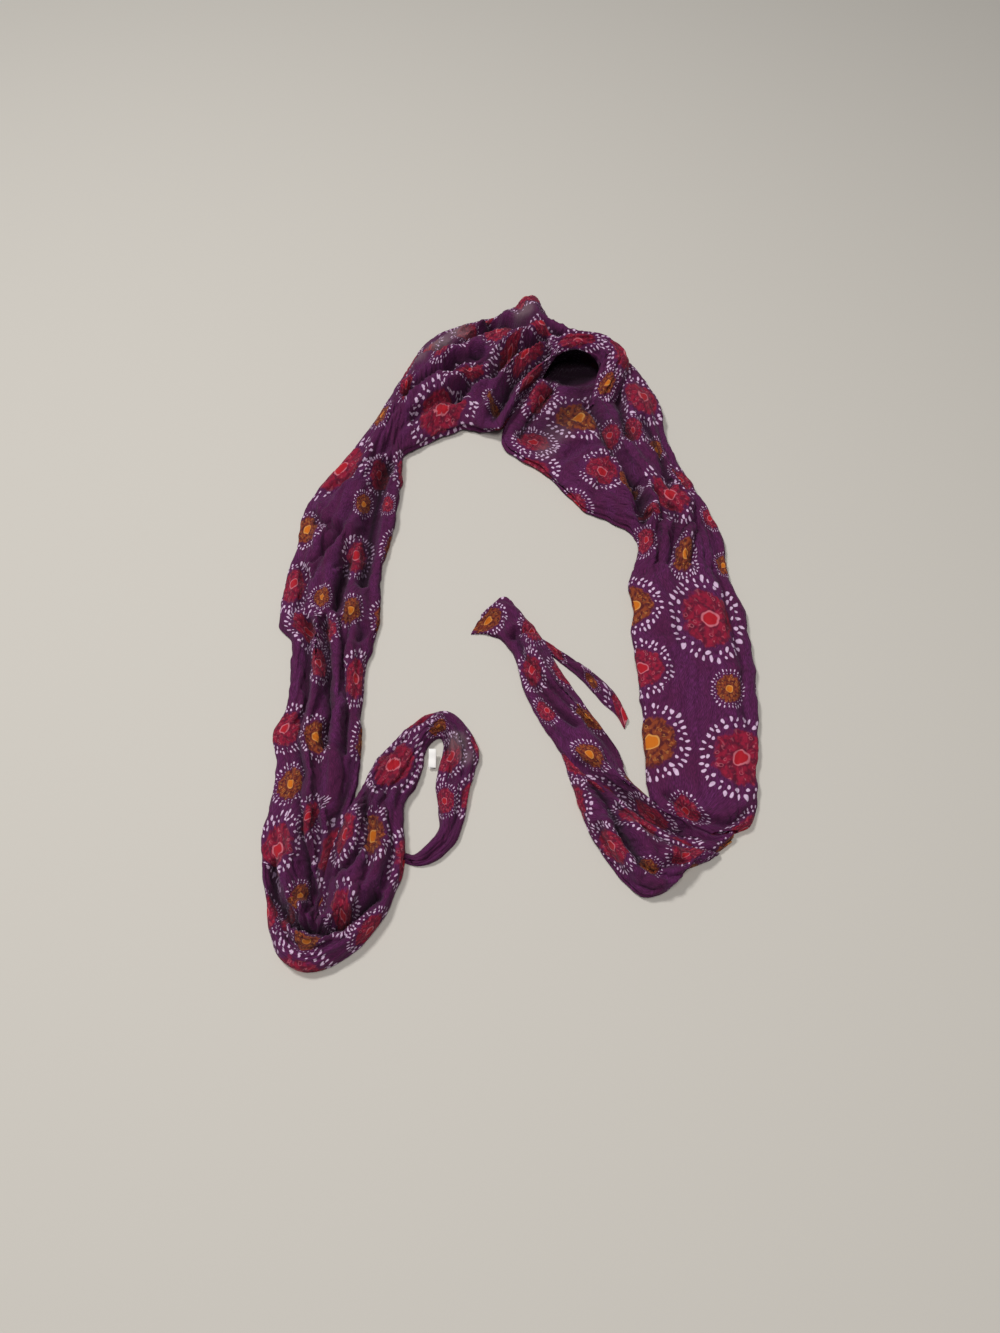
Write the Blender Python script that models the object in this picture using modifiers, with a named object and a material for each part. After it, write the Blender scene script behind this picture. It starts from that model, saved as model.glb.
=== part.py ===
"""A long, light printed scarf, dropped in an arch on a flat surface.

The scarf is gathered into a narrow band.  The band is modelled as stretches, each a closed
loft from its left edge to its right edge, with a flat underside on z = 0, rolled and layered
sides, and the main folds on top.  Left and right are as seen when travelling along the scarf
from the tip of its right tail, up the right leg, over the crown, down the left leg, round the
bend and the loop, to the tip of its left tail.  All plan sizes are in millimetres until the
mesh is made.  +Z is up and +Y points from the open foot of the arch to its crown.
"""
import math

import bmesh
import bpy
import numpy as np

MM = 0.001                  # one millimetre, in metres
PLAN_CENTRE = (-1.4, -2.1)  # the plan point that becomes the origin, in mm
STEP = 10.5                 # distance between neighbouring sections along a stretch
TOP_PITCH = 6.0             # distance between neighbouring points over the top of a section
MIN_TOP_POINTS = 6
CLOTH = 1.5                 # a single gathered layer, the least height of a stretch
CURVE_SAMPLES = 24          # points read from the smooth curve between two stations

# One side of a section, from where it leaves the floor to where the top begins.  Each pair is
# a share of the half width and a share of the side's height.  The notch between the two lips
# parts the rolled edge of the upper layer from the layer below it.
SIDE = [(0.90, 0.0), (1.0, 0.26), (0.955, 0.50), (0.985, 0.78)]
TOP_START = 0.93            # share of the half width where the top begins
CONTACT = [-0.3, 0.3]       # points between the two floor contacts, as shares of the half width

# Stations of each stretch: left x, left y, right x, right y, height.  The crown's stations add
# the share of the height that the rolled side takes, left and right.
RIGHT_TAIL = [
    (-36, -61, -24, -37, 4), (-21, -63, -9, -26, 9), (-10, -68, 3, -38, 12),
    (1, -86, 21, -66, 13), (6, -108, 36, -98, 12), (16, -137, 56, -131, 14),
    (33, -166, 78, -167, 15), (46, -187, 86, -192, 16), (66, -203, 99, -207, 16),
    (84, -222, 113, -221, 15), (108, -240, 130, -231, 14), (130, -250, 143, -235.5, 12),
    (150, -248, 153, -236, 10), (168, -236, 165, -229.5, 6),
]
CORNER_TAIL = [
    (27, -77, 24, -68.5, 7), (39, -90, 33, -75, 8), (50, -101, 45, -84, 8),
    (61, -114, 60, -97, 8), (71, -126, 73, -110, 7), (79, -136, 81, -121, 5),
    (85, -147, 88, -138, 3),
]
RIGHT_BEND = [
    (36, -174, 38, -177, 5), (43, -195, 51, -193.5, 9), (47, -212, 66, -205.5, 13),
    (52, -228, 83, -224, 16), (60, -246, 99, -235.5, 17), (72, -266, 112, -244.5, 17),
    (88, -281, 122, -248.5, 17), (106, -278, 130, -252, 15), (117, -264, 138, -253.5, 12),
    (133, -257, 144, -252, 9), (146, -253.5, 150, -251, 5),
]
RIGHT_LEG = [
    (143, -233.5, 160, -231, 8), (121, -224.5, 173, -226, 12), (103, -208.5, 180, -208, 13),
    (99, -184, 183, -183, 13), (99, -140, 188, -145, 12), (98, -100, 192, -100, 12),
    (96, -70, 192, -70, 12), (98, -40, 191, -42, 12), (97, -15, 183, -15, 13),
    (99, -3, 181, -1, 13),
]
RIGHT_SHOULDER = [
    (99, -2, 181, 0, 13), (106, 22, 180, 32, 16), (103, 40, 172, 62, 18),
    (82, 56, 160, 92, 19), (60, 68, 151, 112, 20), (42, 92, 143, 135, 21),
    (24, 112, 141, 163, 22), (8, 130, 139, 187, 22), (-3, 149, 133, 206, 21),
    (3, 171, 122, 219, 17), (14, 194, 107, 224, 13), (32, 213, 90, 226, 11),
    (42, 227, 74, 232, 8),
]
CROWN = [
    (88, 231, 102, 248, 24, 0.80, 0.45), (72, 231, 88, 264, 36, 0.85, 0.35),
    (47, 227, 63, 266, 42, 0.85, 0.30), (27, 212, 43, 288, 43, 0.80, 0.25),
    (11, 193, 22, 328, 43, 0.70, 0.20), (-1, 168, 0, 319, 42, 0.60, 0.20),
    (-12, 150, -24, 305, 40, 0.45, 0.22), (-28, 153, -53, 297, 38, 0.40, 0.25),
    (-42, 161, -77, 281, 36, 0.38, 0.28), (-58, 155, -95, 255, 34, 0.38, 0.32),
    (-78, 145, -107, 218, 30, 0.42, 0.40), (-99, 132, -120, 183, 25, 0.50, 0.50),
]
LEFT_SHOULDER = [
    (-99, 131, -120, 182, 25), (-101, 115, -134, 155, 23), (-101, 95, -158, 112, 21),
    (-103, 75, -176, 82, 19), (-105, 50, -185, 55, 18), (-110, 20, -187, 22, 17),
    (-113, 3, -190, 3, 17),
]
LEFT_LEG = [
    (-113, 2, -190, 2, 17), (-113, -10, -192, -12, 17), (-111, -35, -195, -36, 17),
    (-112, -54, -193, -54, 17), (-116, -75, -182, -72, 17), (-120, -100, -180, -100, 17),
    (-120, -135, -180, -135, 17), (-119, -158, -188, -158, 17), (-118, -177, -181, -178, 17),
]
LEFT_BEND = [
    (-118, -178, -181, -179, 17), (-120.3, -205, -181, -208, 18),
    (-127.2, -230, -185, -232, 20), (-133.5, -258, -182, -260, 21),
    (-136, -283, -176, -287, 21), (-139, -297, -167, -319, 20), (-140, -300, -150, -333, 18),
]
RETURN_LIMB = [
    (-139.3, -300, -149, -333, 18), (-137.6, -298, -128, -330, 18),
    (-135.3, -293, -106, -314, 19), (-134.2, -284, -91, -292, 20),
    (-132.5, -262, -82, -265, 20), (-128.4, -240, -81, -245, 19),
    (-123.4, -222, -84, -224, 18), (-118.6, -205, -83, -211, 16),
]
LEFT_LOOP = [
    (-117.5, -204, -83, -210, 16), (-108, -182, -74, -194, 15), (-98, -166, -71, -181, 13),
    (-84, -150, -69, -169, 13), (-68, -138.5, -64, -159, 13), (-50, -137, -57, -157, 13),
    (-36, -151, -55, -165, 13), (-28, -172, -57, -177, 12), (-34, -194, -60, -197, 11),
]
LEFT_TAIL = [
    (-34.3, -195, -60, -198, 11), (-40, -226, -57, -222, 10), (-46, -242, -58, -234, 9),
    (-58, -254, -66, -243, 8), (-70, -259, -74, -250, 6), (-78, -259, -79, -251, 4),
]

# Each stretch: name, stations, and the side share of the stations that state none.
STRETCHES = [
    ("right_tail", RIGHT_TAIL, 0.55),
    ("corner_tail", CORNER_TAIL, 0.55),
    ("right_bend", RIGHT_BEND, 0.60),
    ("right_leg", RIGHT_LEG, 0.75),
    ("right_shoulder", RIGHT_SHOULDER, 0.50),
    ("crown", CROWN, 0.35),
    ("left_shoulder", LEFT_SHOULDER, 0.50),
    ("left_leg", LEFT_LEG, 0.60),
    ("left_bend", LEFT_BEND, 0.60),
    ("return_limb", RETURN_LIMB, 0.60),
    ("left_loop", LEFT_LOOP, 0.60),
    ("left_tail", LEFT_TAIL, 0.60),
]

# Folds on each stretch: path, rise, reach to its left, reach to its right.  A negative rise is
# a valley, and an uneven pair of reaches is a lapped edge, steep on its short side.
FOLDS = {
    "right_tail": [
        ([(-20, -44), (4, -70), (20, -98), (40, -128), (60, -160)], 3, 9, 6),
        ([(6, -100), (22, -118), (34, -136), (48, -150)], -6, 3.5, 3.5),
        ([(42, -180), (58, -186), (76, -200), (96, -218), (118, -236)], -5, 3, 5),
        ([(60, -176), (78, -196), (96, -214), (120, -232)], 3, 5, 5),
    ],
    "corner_tail": [
        ([(30, -80), (50, -98), (68, -115), (84, -138)], 2, 4, 4),
    ],
    "right_bend": [
        ([(50, -205), (58, -232), (72, -254), (90, -268), (112, -262)], 3, 6, 4),
        ([(60, -212), (66, -232), (80, -248), (96, -258)], -4, 3, 3),
    ],
    "right_leg": [
        ([(141, 0), (136, -20), (138, -48)], -3, 8, 8),
        ([(168, 0), (178, -24), (178, -60), (176, -85), (181, -120), (182, -150)], -4, 3, 7),
        ([(172, -6), (174, -60), (172, -85), (177, -130)], 2, 9, 4),
        ([(134, -60), (134, -85), (124, -105)], -2, 6, 5),
        ([(118, -20), (116, -90), (118, -170)], 2, 12, 12),
        ([(176, -170), (180, -200), (172, -222)], -4, 5, 4),
        ([(116, -214), (134, -228), (160, -229), (174, -215)], 2.5, 6, 8),
    ],
    "right_shoulder": [
        ([(131, 6), (137, 30), (140, 46), (134, 62)], -8, 5, 5),
        ([(166, 50), (172, 26), (176, 4)], -5, 3, 6),
        ([(106, 24), (112, 52), (106, 84), (98, 108)], -5, 4, 8),
        ([(116, 20), (122, 60), (116, 96), (106, 128)], 5, 9, 9),
        ([(150, 66), (140, 104), (124, 150), (118, 190)], 5, 12, 9),
        ([(30, 124), (60, 96), (84, 70), (100, 44)], 4, 7, 7),
        ([(20, 150), (52, 170), (66, 196), (64, 224)], -8, 22, 26),
        ([(100, 112), (88, 140), (84, 168)], -5, 5, 6),
        ([(116, 214), (124, 196), (130, 176)], 6, 8, 8),
    ],
    "crown": [
        ([(-9, 148), (-1, 172), (7, 194), (22, 214), (42, 226), (68, 232)], 4, 6, 12),
        ([(-20, 162), (-14, 186), (-4, 212), (14, 236)], -13, 6, 7),
        ([(-24, 222), (0, 232), (26, 250)], 5, 7, 10),
        ([(-100, 186), (-72, 200), (-46, 200), (-26, 190)], 7, 9, 7),
        ([(-62, 208), (-42, 208), (-24, 216)], -12, 5, 5),
        ([(-96, 150), (-70, 160), (-46, 172), (-24, 164)], 5, 6, 9),
        ([(-84, 226), (-56, 228), (-34, 236), (-14, 254)], 6, 6, 10),
        ([(-66, 240), (-42, 250), (-14, 272)], -6, 6, 6),
        ([(-60, 262), (-30, 274), (0, 290), (18, 308)], 6, 8, 8),
        ([(24, 250), (22, 280), (22, 308)], 6, 8, 8),
        ([(-4, 262), (8, 272), (20, 270)], -7, 7, 7),
    ],
    "left_shoulder": [
        ([(-106, 120), (-114, 96), (-122, 60), (-126, 20)], -10, 4, 6),
        ([(-110, 124), (-106, 90), (-110, 50)], 2, 6, 4),
        ([(-118, 168), (-128, 120), (-140, 80), (-146, 40)], 4, 14, 12),
        ([(-168, 84), (-150, 92), (-130, 90)], -4, 6, 8),
        ([(-176, 60), (-172, 30), (-160, 4)], 4, 9, 9),
    ],
    "left_leg": [
        ([(-130, 0), (-138, -30), (-146, -58), (-148, -90), (-144, -130), (-140, -176)], -9, 4, 4),
        ([(-158, -4), (-162, -40), (-168, -80), (-166, -130), (-162, -176)], -8, 4, 4),
        ([(-124, -60), (-128, -100), (-128, -150), (-126, -176)], -6, 3, 3),
        ([(-150, -6), (-154, -50), (-158, -100), (-154, -150)], 3, 5, 5),
        ([(-122, -10), (-130, -50), (-136, -100), (-134, -160)], 3, 6, 6),
        ([(-180, 0), (-184, -40), (-176, -64)], 4, 8, 6),
    ],
    "left_bend": [
        ([(-162, -180), (-158, -206), (-160, -240), (-160, -270), (-156, -290)], 4, 6, 6),
        ([(-150, -180), (-146, -206), (-148, -240), (-148, -270)], -7, 4, 4),
        ([(-172, -262), (-168, -292), (-154, -316)], -4, 3, 4),
        ([(-160, -296), (-150, -306), (-143, -308)], -6, 3, 3),
    ],
    "return_limb": [
        ([(-124, -206), (-118, -232), (-114, -262), (-118, -288)], 5, 7, 8),
        ([(-104, -214), (-102, -240), (-106, -262)], -5, 4, 4),
        ([(-96, -214), (-92, -244), (-98, -276)], 4, 5, 6),
        ([(-142, -310), (-128, -309), (-112, -298)], -7, 3, 3),
        ([(-144, -318), (-126, -316), (-104, -300)], 3, 4, 4),
    ],
    "left_loop": [
        ([(-98, -200), (-88, -176), (-72, -156), (-58, -147)], 3, 9, 8),
        ([(-56, -150), (-46, -160), (-40, -180)], 3, 7, 7),
        ([(-54, -158), (-50, -176), (-48, -194)], -4, 4, 4),
    ],
    "left_tail": [
        ([(-46, -200), (-50, -220), (-54, -236), (-66, -249)], 2, 5, 5),
    ],
}

# The hollow under the front of the crown, which opens towards the foot of the arch.
CAVE_CENTRE = (56, 226, -2)
CAVE_REACH = (31, 25, 39)
CAVE_SEGMENTS = 24
CAVE_RINGS = 12

# The care label, a strip folded down from the loop's inner edge.
LABEL_SIZE = (5.5, 16.0, 1.2)
LABEL_CENTRE = (-63.4, -176.5)

PLUM = (0.075, 0.012, 0.085, 1.0)
WHITE = (0.80, 0.80, 0.78, 1.0)


def smooth_curve(stations):
    """Points of a Catmull-Rom curve through every station, end stations included."""
    rows = np.array(stations, dtype=float)
    rows = np.vstack([2 * rows[0] - rows[1], rows, 2 * rows[-1] - rows[-2]])
    t = np.linspace(0, 1, CURVE_SAMPLES, endpoint=False)[:, None]
    spans = []
    for i in range(1, len(rows) - 2):
        p0, p1, p2, p3 = rows[i - 1:i + 3]
        spans.append(p1 + 0.5 * t * (p2 - p0 + t * (2 * p0 - 5 * p1 + 4 * p2 - p3
                                                    + t * (3 * (p1 - p2) + p3 - p0))))
    return np.vstack(spans + [rows[-2:-1]])


def even_sections(stations, step):
    """Stations read from the smooth curve at an even distance along its middle line."""
    curve = smooth_curve(stations)
    middle = (curve[:, 0:2] + curve[:, 2:4]) / 2
    along = np.concatenate([[0], np.cumsum(np.linalg.norm(np.diff(middle, axis=0), axis=1))])
    count = max(3, round(along[-1] / step) + 1)
    places = np.linspace(0, along[-1], count)
    return np.stack([np.interp(places, along, values) for values in curve.T], axis=1)


def fold_rise(points, path, rise, left_reach, right_reach):
    """The rise of one fold at plan points: full on its path, fading on each side of it."""
    path = np.array(path, dtype=float)
    nearest = np.full(len(points), np.inf)
    signed = np.zeros(len(points))
    for start, end in zip(path[:-1], path[1:]):
        run = end - start
        share = np.clip((points - start) @ run / (run @ run), 0, 1)
        offset = points - start - share[:, None] * run
        distance = np.linalg.norm(offset, axis=1)
        side = run[0] * offset[:, 1] - run[1] * offset[:, 0]
        closer = distance < nearest
        nearest = np.where(closer, distance, nearest)
        signed = np.where(closer, side, signed)
    reach = np.where(signed > 0, left_reach, right_reach)
    return rise * np.exp(-(nearest / reach) ** 2)


def section_shape(width):
    """One section's points as (share of half width, share of side height, share of the top)."""
    count = max(MIN_TOP_POINTS, math.ceil(width / TOP_PITCH))
    top = [TOP_START * math.sin(math.pi / 2 * (1 - 2 * k / (count - 1))) for k in range(count)]
    shape = [(c, 0.0, 0.0) for c in CONTACT]
    shape += [(c, z, 0.0) for c, z in SIDE]
    shape += [(c, 1.0, math.cos(math.pi / 2 * c / TOP_START)) for c in top]
    shape += [(-c, z, 0.0) for c, z in reversed(SIDE)]
    return np.array(shape)


def stretch_mesh(name, stations, side_share, folds):
    """A closed loft through a stretch's sections, with its folds raised on the top."""
    shared = [(*station, side_share, side_share)[:7] for station in stations]
    sections = even_sections(shared, STEP)
    widths = np.linalg.norm(sections[:, 2:4] - sections[:, 0:2], axis=1)
    shape = section_shape(widths.max())
    across = shape[:, 0][None, :, None]
    left = sections[:, None, 0:2]
    right = sections[:, None, 2:4]
    plan = (left + right) / 2 + (right - left) / 2 * across
    height, left_share, right_share = sections[:, 4:7].T[:, :, None]
    share = left_share + (right_share - left_share) * (1 + shape[:, 0]) / 2
    z = height * (share * shape[:, 1] + (1 - share) * shape[:, 2])
    on_top = shape[:, 1] == 1.0
    flat = plan.reshape(-1, 2)
    rise = sum(fold_rise(flat, *fold) for fold in folds).reshape(z.shape)
    fade = np.clip(2.2 * shape[:, 2], 0.25, 1.0)
    raised = np.maximum(z + rise * fade, np.minimum(z, 1.6 * CLOTH + 0.15 * height))
    z = np.where(on_top, raised, z)

    bm = bmesh.new()
    rings = []
    for row, levels in zip(plan, z):
        points = [((x - PLAN_CENTRE[0]) * MM, (y - PLAN_CENTRE[1]) * MM, level * MM)
                  for (x, y), level in zip(row, levels)]
        rings.append([bm.verts.new(point) for point in points])
    around = len(rings[0])
    for first, second in zip(rings[:-1], rings[1:]):
        for k in range(around):
            n = (k + 1) % around
            bm.faces.new((first[k], second[k], second[n], first[n]))
    bm.faces.new(list(reversed(rings[0])))
    bm.faces.new(rings[-1])
    bmesh.ops.recalc_face_normals(bm, faces=bm.faces)
    bmesh.ops.triangulate(bm, faces=bm.faces)
    mesh = bpy.data.meshes.new(name)
    bm.to_mesh(mesh)
    bm.free()
    mesh.shade_smooth()
    return mesh


def cloth_material(name, colour, roughness):
    material = bpy.data.materials.new(name)
    material.use_nodes = True
    shader = material.node_tree.nodes["Principled BSDF"]
    shader.inputs["Base Color"].default_value = colour
    shader.inputs["Roughness"].default_value = roughness
    shader.inputs["Metallic"].default_value = 0.0
    return material


def add_stretch(collection, name, stations, side_share):
    mesh = stretch_mesh(name, stations, side_share, FOLDS[name])
    piece = bpy.data.objects.new(name, mesh)
    piece.data.materials.append(cloth_material(name + "_cloth", PLUM, 0.85))
    collection.objects.link(piece)
    return piece


def cave_cutter(collection):
    """The squashed ball whose upper half hollows the crown."""
    bm = bmesh.new()
    bmesh.ops.create_uvsphere(bm, u_segments=CAVE_SEGMENTS, v_segments=CAVE_RINGS, radius=1.0)
    reach = [r * MM for r in CAVE_REACH]
    centre = [(c - p) * MM for c, p in zip(CAVE_CENTRE, (*PLAN_CENTRE, 0))]
    for vert in bm.verts:
        vert.co = [c + v * r for c, v, r in zip(centre, vert.co, reach)]
    mesh = bpy.data.meshes.new("cave_cutter")
    bm.to_mesh(mesh)
    bm.free()
    cutter = bpy.data.objects.new("cave_cutter", mesh)
    cutter.hide_render = True
    cutter.display_type = "WIRE"
    collection.objects.link(cutter)
    return cutter


def hollow(piece, cutter):
    cut = piece.modifiers.new("cave", "BOOLEAN")
    cut.operation = "DIFFERENCE"
    cut.solver = "EXACT"
    cut.object = cutter


def add_label(collection):
    """The label, a thin strip that lies on the floor with slightly rounded edges."""
    bm = bmesh.new()
    bmesh.ops.create_cube(bm, size=1.0)
    width, length, thick = LABEL_SIZE
    for vert in bm.verts:
        vert.co.x = (vert.co.x * width + LABEL_CENTRE[0] - PLAN_CENTRE[0]) * MM
        vert.co.y = (vert.co.y * length + LABEL_CENTRE[1] - PLAN_CENTRE[1]) * MM
        vert.co.z = (vert.co.z + 0.5) * thick * MM
    mesh = bpy.data.meshes.new("care_label")
    bm.to_mesh(mesh)
    bm.free()
    label = bpy.data.objects.new("care_label", mesh)
    label.data.materials.append(cloth_material("label_tape", WHITE, 0.7))
    bevel = label.modifiers.new("worn_edges", "BEVEL")
    bevel.width = 0.3 * MM
    bevel.segments = 2
    collection.objects.link(label)
    return label


def main():
    for thing in list(bpy.data.objects):
        bpy.data.objects.remove(thing)
    scarf = bpy.data.collections.new("scarf")
    cutters = bpy.data.collections.new("cutters")
    bpy.context.scene.collection.children.link(scarf)
    bpy.context.scene.collection.children.link(cutters)
    pieces = {name: add_stretch(scarf, name, stations, share)
              for name, stations, share in STRETCHES}
    hollow(pieces["crown"], cave_cutter(cutters))
    add_label(scarf)


main()
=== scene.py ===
"""A long, light scarf with a print of rosettes, dropped in an arch on a pale floor.

The scarf is gathered into a narrow band.  Each stretch is a thin shell, lofted from its left
edge to its right edge as seen when travelling from the right tail's tip, up the right leg, over
the crown, down the left leg and round the loop to the left tail.  Plan sizes are in
millimetres until a mesh is made.
"""
import math

import bpy
import numpy as np
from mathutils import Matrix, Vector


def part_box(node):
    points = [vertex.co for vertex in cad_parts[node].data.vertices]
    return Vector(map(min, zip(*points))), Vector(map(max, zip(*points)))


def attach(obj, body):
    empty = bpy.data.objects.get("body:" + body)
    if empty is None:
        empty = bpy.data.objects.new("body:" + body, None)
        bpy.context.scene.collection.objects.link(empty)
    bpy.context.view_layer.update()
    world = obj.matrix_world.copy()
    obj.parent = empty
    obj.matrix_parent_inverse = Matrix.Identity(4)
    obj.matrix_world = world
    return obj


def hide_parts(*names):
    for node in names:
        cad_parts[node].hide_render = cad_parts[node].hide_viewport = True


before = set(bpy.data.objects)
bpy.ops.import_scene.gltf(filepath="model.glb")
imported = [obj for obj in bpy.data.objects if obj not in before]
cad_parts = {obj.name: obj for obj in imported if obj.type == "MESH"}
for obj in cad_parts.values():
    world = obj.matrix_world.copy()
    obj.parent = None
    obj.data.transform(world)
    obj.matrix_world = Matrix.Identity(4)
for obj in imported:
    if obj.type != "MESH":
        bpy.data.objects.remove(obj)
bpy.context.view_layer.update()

MM = 0.001
PLAN_CENTRE = (-1.4, -2.1)  # the plan point at the origin, in mm
STEP = 1.8                  # distance between neighbouring sections, in mm
TOP_PITCH = 1.7             # distance between points over the top of a section, in mm
THICKNESS = 0.5             # of the cloth, in mm
CURVE_SAMPLES = 40
TOP_START = 0.93
FLOOR_POINTS = 12
SIDE_POINTS = 13

# One side of a section, from the floor to the top: shares of the half width and of the side.
SIDE = [(0.90, 0.0), (1.0, 0.26), (0.955, 0.50), (0.985, 0.78), (0.93, 1.0)]

# ---------------------------------------------------------------- the stretches' stations
# Left x, left y, right x, right y, height, and where it varies, the share of the height that
# the rolled side takes on the left and on the right.
RIGHT_TAIL = [
    (-36, -61, -24, -37, 4), (-21, -63, -9, -26, 9), (-10, -68, 3, -38, 12),
    (1, -86, 21, -66, 13), (6, -108, 36, -98, 12), (16, -137, 56, -131, 14),
    (33, -166, 78, -167, 15), (46, -187, 86, -192, 16), (66, -203, 99, -207, 16),
    (84, -222, 113, -221, 15), (108, -240, 130, -231, 14), (130, -250, 143, -235.5, 12),
    (146, -248, 152, -236, 10), (157, -241, 158, -231, 7),
]
CORNER_TAIL = [
    (17, -72, 14, -60, 5), (28, -80, 24, -68, 8), (39, -90, 33, -75, 8), (50, -101, 45, -84, 8),
    (61, -114, 60, -97, 8), (71, -126, 73, -110, 7), (79, -136, 81, -121, 5),
    (85, -147, 88, -138, 3),
]
RIGHT_BEND = [
    (35, -169, 40, -174, 6), (42, -193, 54, -189, 9), (46, -210, 69, -201, 13),
    (52, -228, 86, -220, 16), (60, -246, 101, -231.5, 17), (72, -266, 114, -240.5, 17),
    (88, -281, 124, -245.5, 17), (106, -278, 132, -248, 16), (117, -264, 140, -248.5, 14),
    (130, -258, 145, -250, 11), (140, -254, 147, -249, 7),
]
RIGHT_LEG = [
    (139, -236, 163, -233, 8), (118, -227, 173, -227, 12), (101, -210, 180, -208, 13),
    (99, -184, 183, -183, 13), (99, -140, 188, -145, 12), (98, -100, 192, -100, 12),
    (96, -70, 192, -70, 12), (98, -40, 191, -42, 12), (97, -15, 183, -15, 13),
    (99, -3, 181, -1, 13),
]
RIGHT_SHOULDER = [
    (99, -2, 181, 0, 13), (106, 22, 180, 32, 16), (103, 40, 172, 62, 18),
    (82, 56, 160, 92, 19), (60, 68, 151, 112, 20), (42, 92, 143, 135, 21),
    (24, 112, 141, 163, 22), (4, 128, 138, 189, 22), (-10, 144, 131, 211, 19),
    (-7, 170, 124, 231, 15), (3, 198, 114, 246, 12), (18, 222, 100, 257, 9),
    (32, 242, 90, 260, 7), (44, 252, 80, 260, 5),
]
CROWN = [
    (72, 186, 90, 182, 14, 0.60, 0.60), (75, 201, 99, 197, 24, 0.75, 0.55),
    (79, 216, 108, 217, 28, 0.85, 0.50), (80, 227, 112, 242, 32, 0.85, 0.40),
    (70, 231, 92, 262, 37, 0.85, 0.35),
    (47, 227, 63, 266, 42, 0.85, 0.30), (27, 212, 43, 288, 43, 0.80, 0.25),
    (11, 193, 22, 328, 43, 0.70, 0.20), (-1, 168, 0, 319, 42, 0.60, 0.20),
    (-12, 150, -24, 305, 40, 0.45, 0.22), (-28, 153, -53, 297, 38, 0.40, 0.25),
    (-42, 161, -77, 281, 36, 0.38, 0.28), (-58, 155, -95, 255, 34, 0.38, 0.32),
    (-78, 145, -107, 218, 30, 0.42, 0.40), (-99, 132, -120, 183, 25, 0.50, 0.50),
]
LEFT_SHOULDER = [
    (-99, 131, -120, 182, 25), (-101, 115, -134, 155, 23), (-101, 95, -158, 112, 21),
    (-103, 75, -176, 82, 19), (-105, 50, -185, 55, 18), (-110, 20, -187, 22, 17),
    (-113, 3, -190, 3, 17),
]
LEFT_LEG = [
    (-113, 2, -190, 2, 17), (-113, -10, -192, -12, 17), (-111, -35, -195, -36, 17),
    (-112, -54, -193, -54, 17), (-116, -75, -182, -72, 17), (-120, -100, -180, -100, 17),
    (-120, -135, -180, -135, 17), (-119, -158, -188, -158, 17), (-118, -177, -181, -178, 17),
]
LEFT_BEND = [
    (-118, -178, -181, -179, 17), (-120.3, -205, -181, -208, 18),
    (-127.2, -230, -185, -232, 20), (-133.5, -258, -182, -260, 21),
    (-136, -283, -176, -287, 21), (-139, -297, -167, -319, 20), (-140, -300, -150, -333, 18),
]
RETURN_LIMB = [
    (-139.3, -300, -149, -333, 18), (-138.5, -298, -128, -330, 18),
    (-138.5, -293, -106, -314, 19), (-138.5, -284, -91, -292, 20),
    (-137.5, -262, -82, -265, 20), (-133.5, -240, -81, -245, 19),
    (-128, -222, -84, -224, 18), (-120.5, -204, -83, -211, 16),
]
LEFT_LOOP = [
    (-117.5, -204, -83, -210, 16), (-108, -182, -74, -194, 15), (-98, -166, -71, -181, 13),
    (-84, -150, -69, -169, 13), (-68, -138.5, -64, -159, 13), (-50, -137, -57, -157, 13),
    (-36, -151, -55, -165, 13), (-28, -172, -57, -177, 12), (-34, -194, -60, -197, 11),
]
LEFT_TAIL = [
    (-34.3, -195, -60, -198, 11), (-40, -226, -57, -222, 10), (-46, -242, -58, -234, 9),
    (-58, -254, -66, -243, 8), (-70, -258, -74, -250, 6), (-80, -256, -80, -249, 4),
    (-85, -253, -84, -248, 3),
]

# Runs of cloth that go on without a break: name, stations, side share, and how deep its
# gathered pleats and its fine crinkles are, in mm.
RUNS = [
    [("right_tail", RIGHT_TAIL, 0.55, 3.4, 1.8)],
    [("corner_tail", CORNER_TAIL, 0.55, 2.0, 1.3)],
    [("right_bend", RIGHT_BEND, 0.60, 3.4, 1.8)],
    [("right_leg", RIGHT_LEG, 0.75, 1.1, 1.0), ("right_shoulder", RIGHT_SHOULDER, 0.50, 2.8, 2.2)],
    [("crown", CROWN, 0.35, 3.0, 2.0), ("left_shoulder", LEFT_SHOULDER, 0.50, 3.0, 1.9),
     ("left_leg", LEFT_LEG, 0.60, 3.2, 1.9), ("left_bend", LEFT_BEND, 0.60, 3.2, 1.9),
     ("return_limb", RETURN_LIMB, 0.60, 3.0, 2.0), ("left_loop", LEFT_LOOP, 0.60, 2.4, 1.5),
     ("left_tail", LEFT_TAIL, 0.60, 2.2, 1.0)],
]

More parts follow.
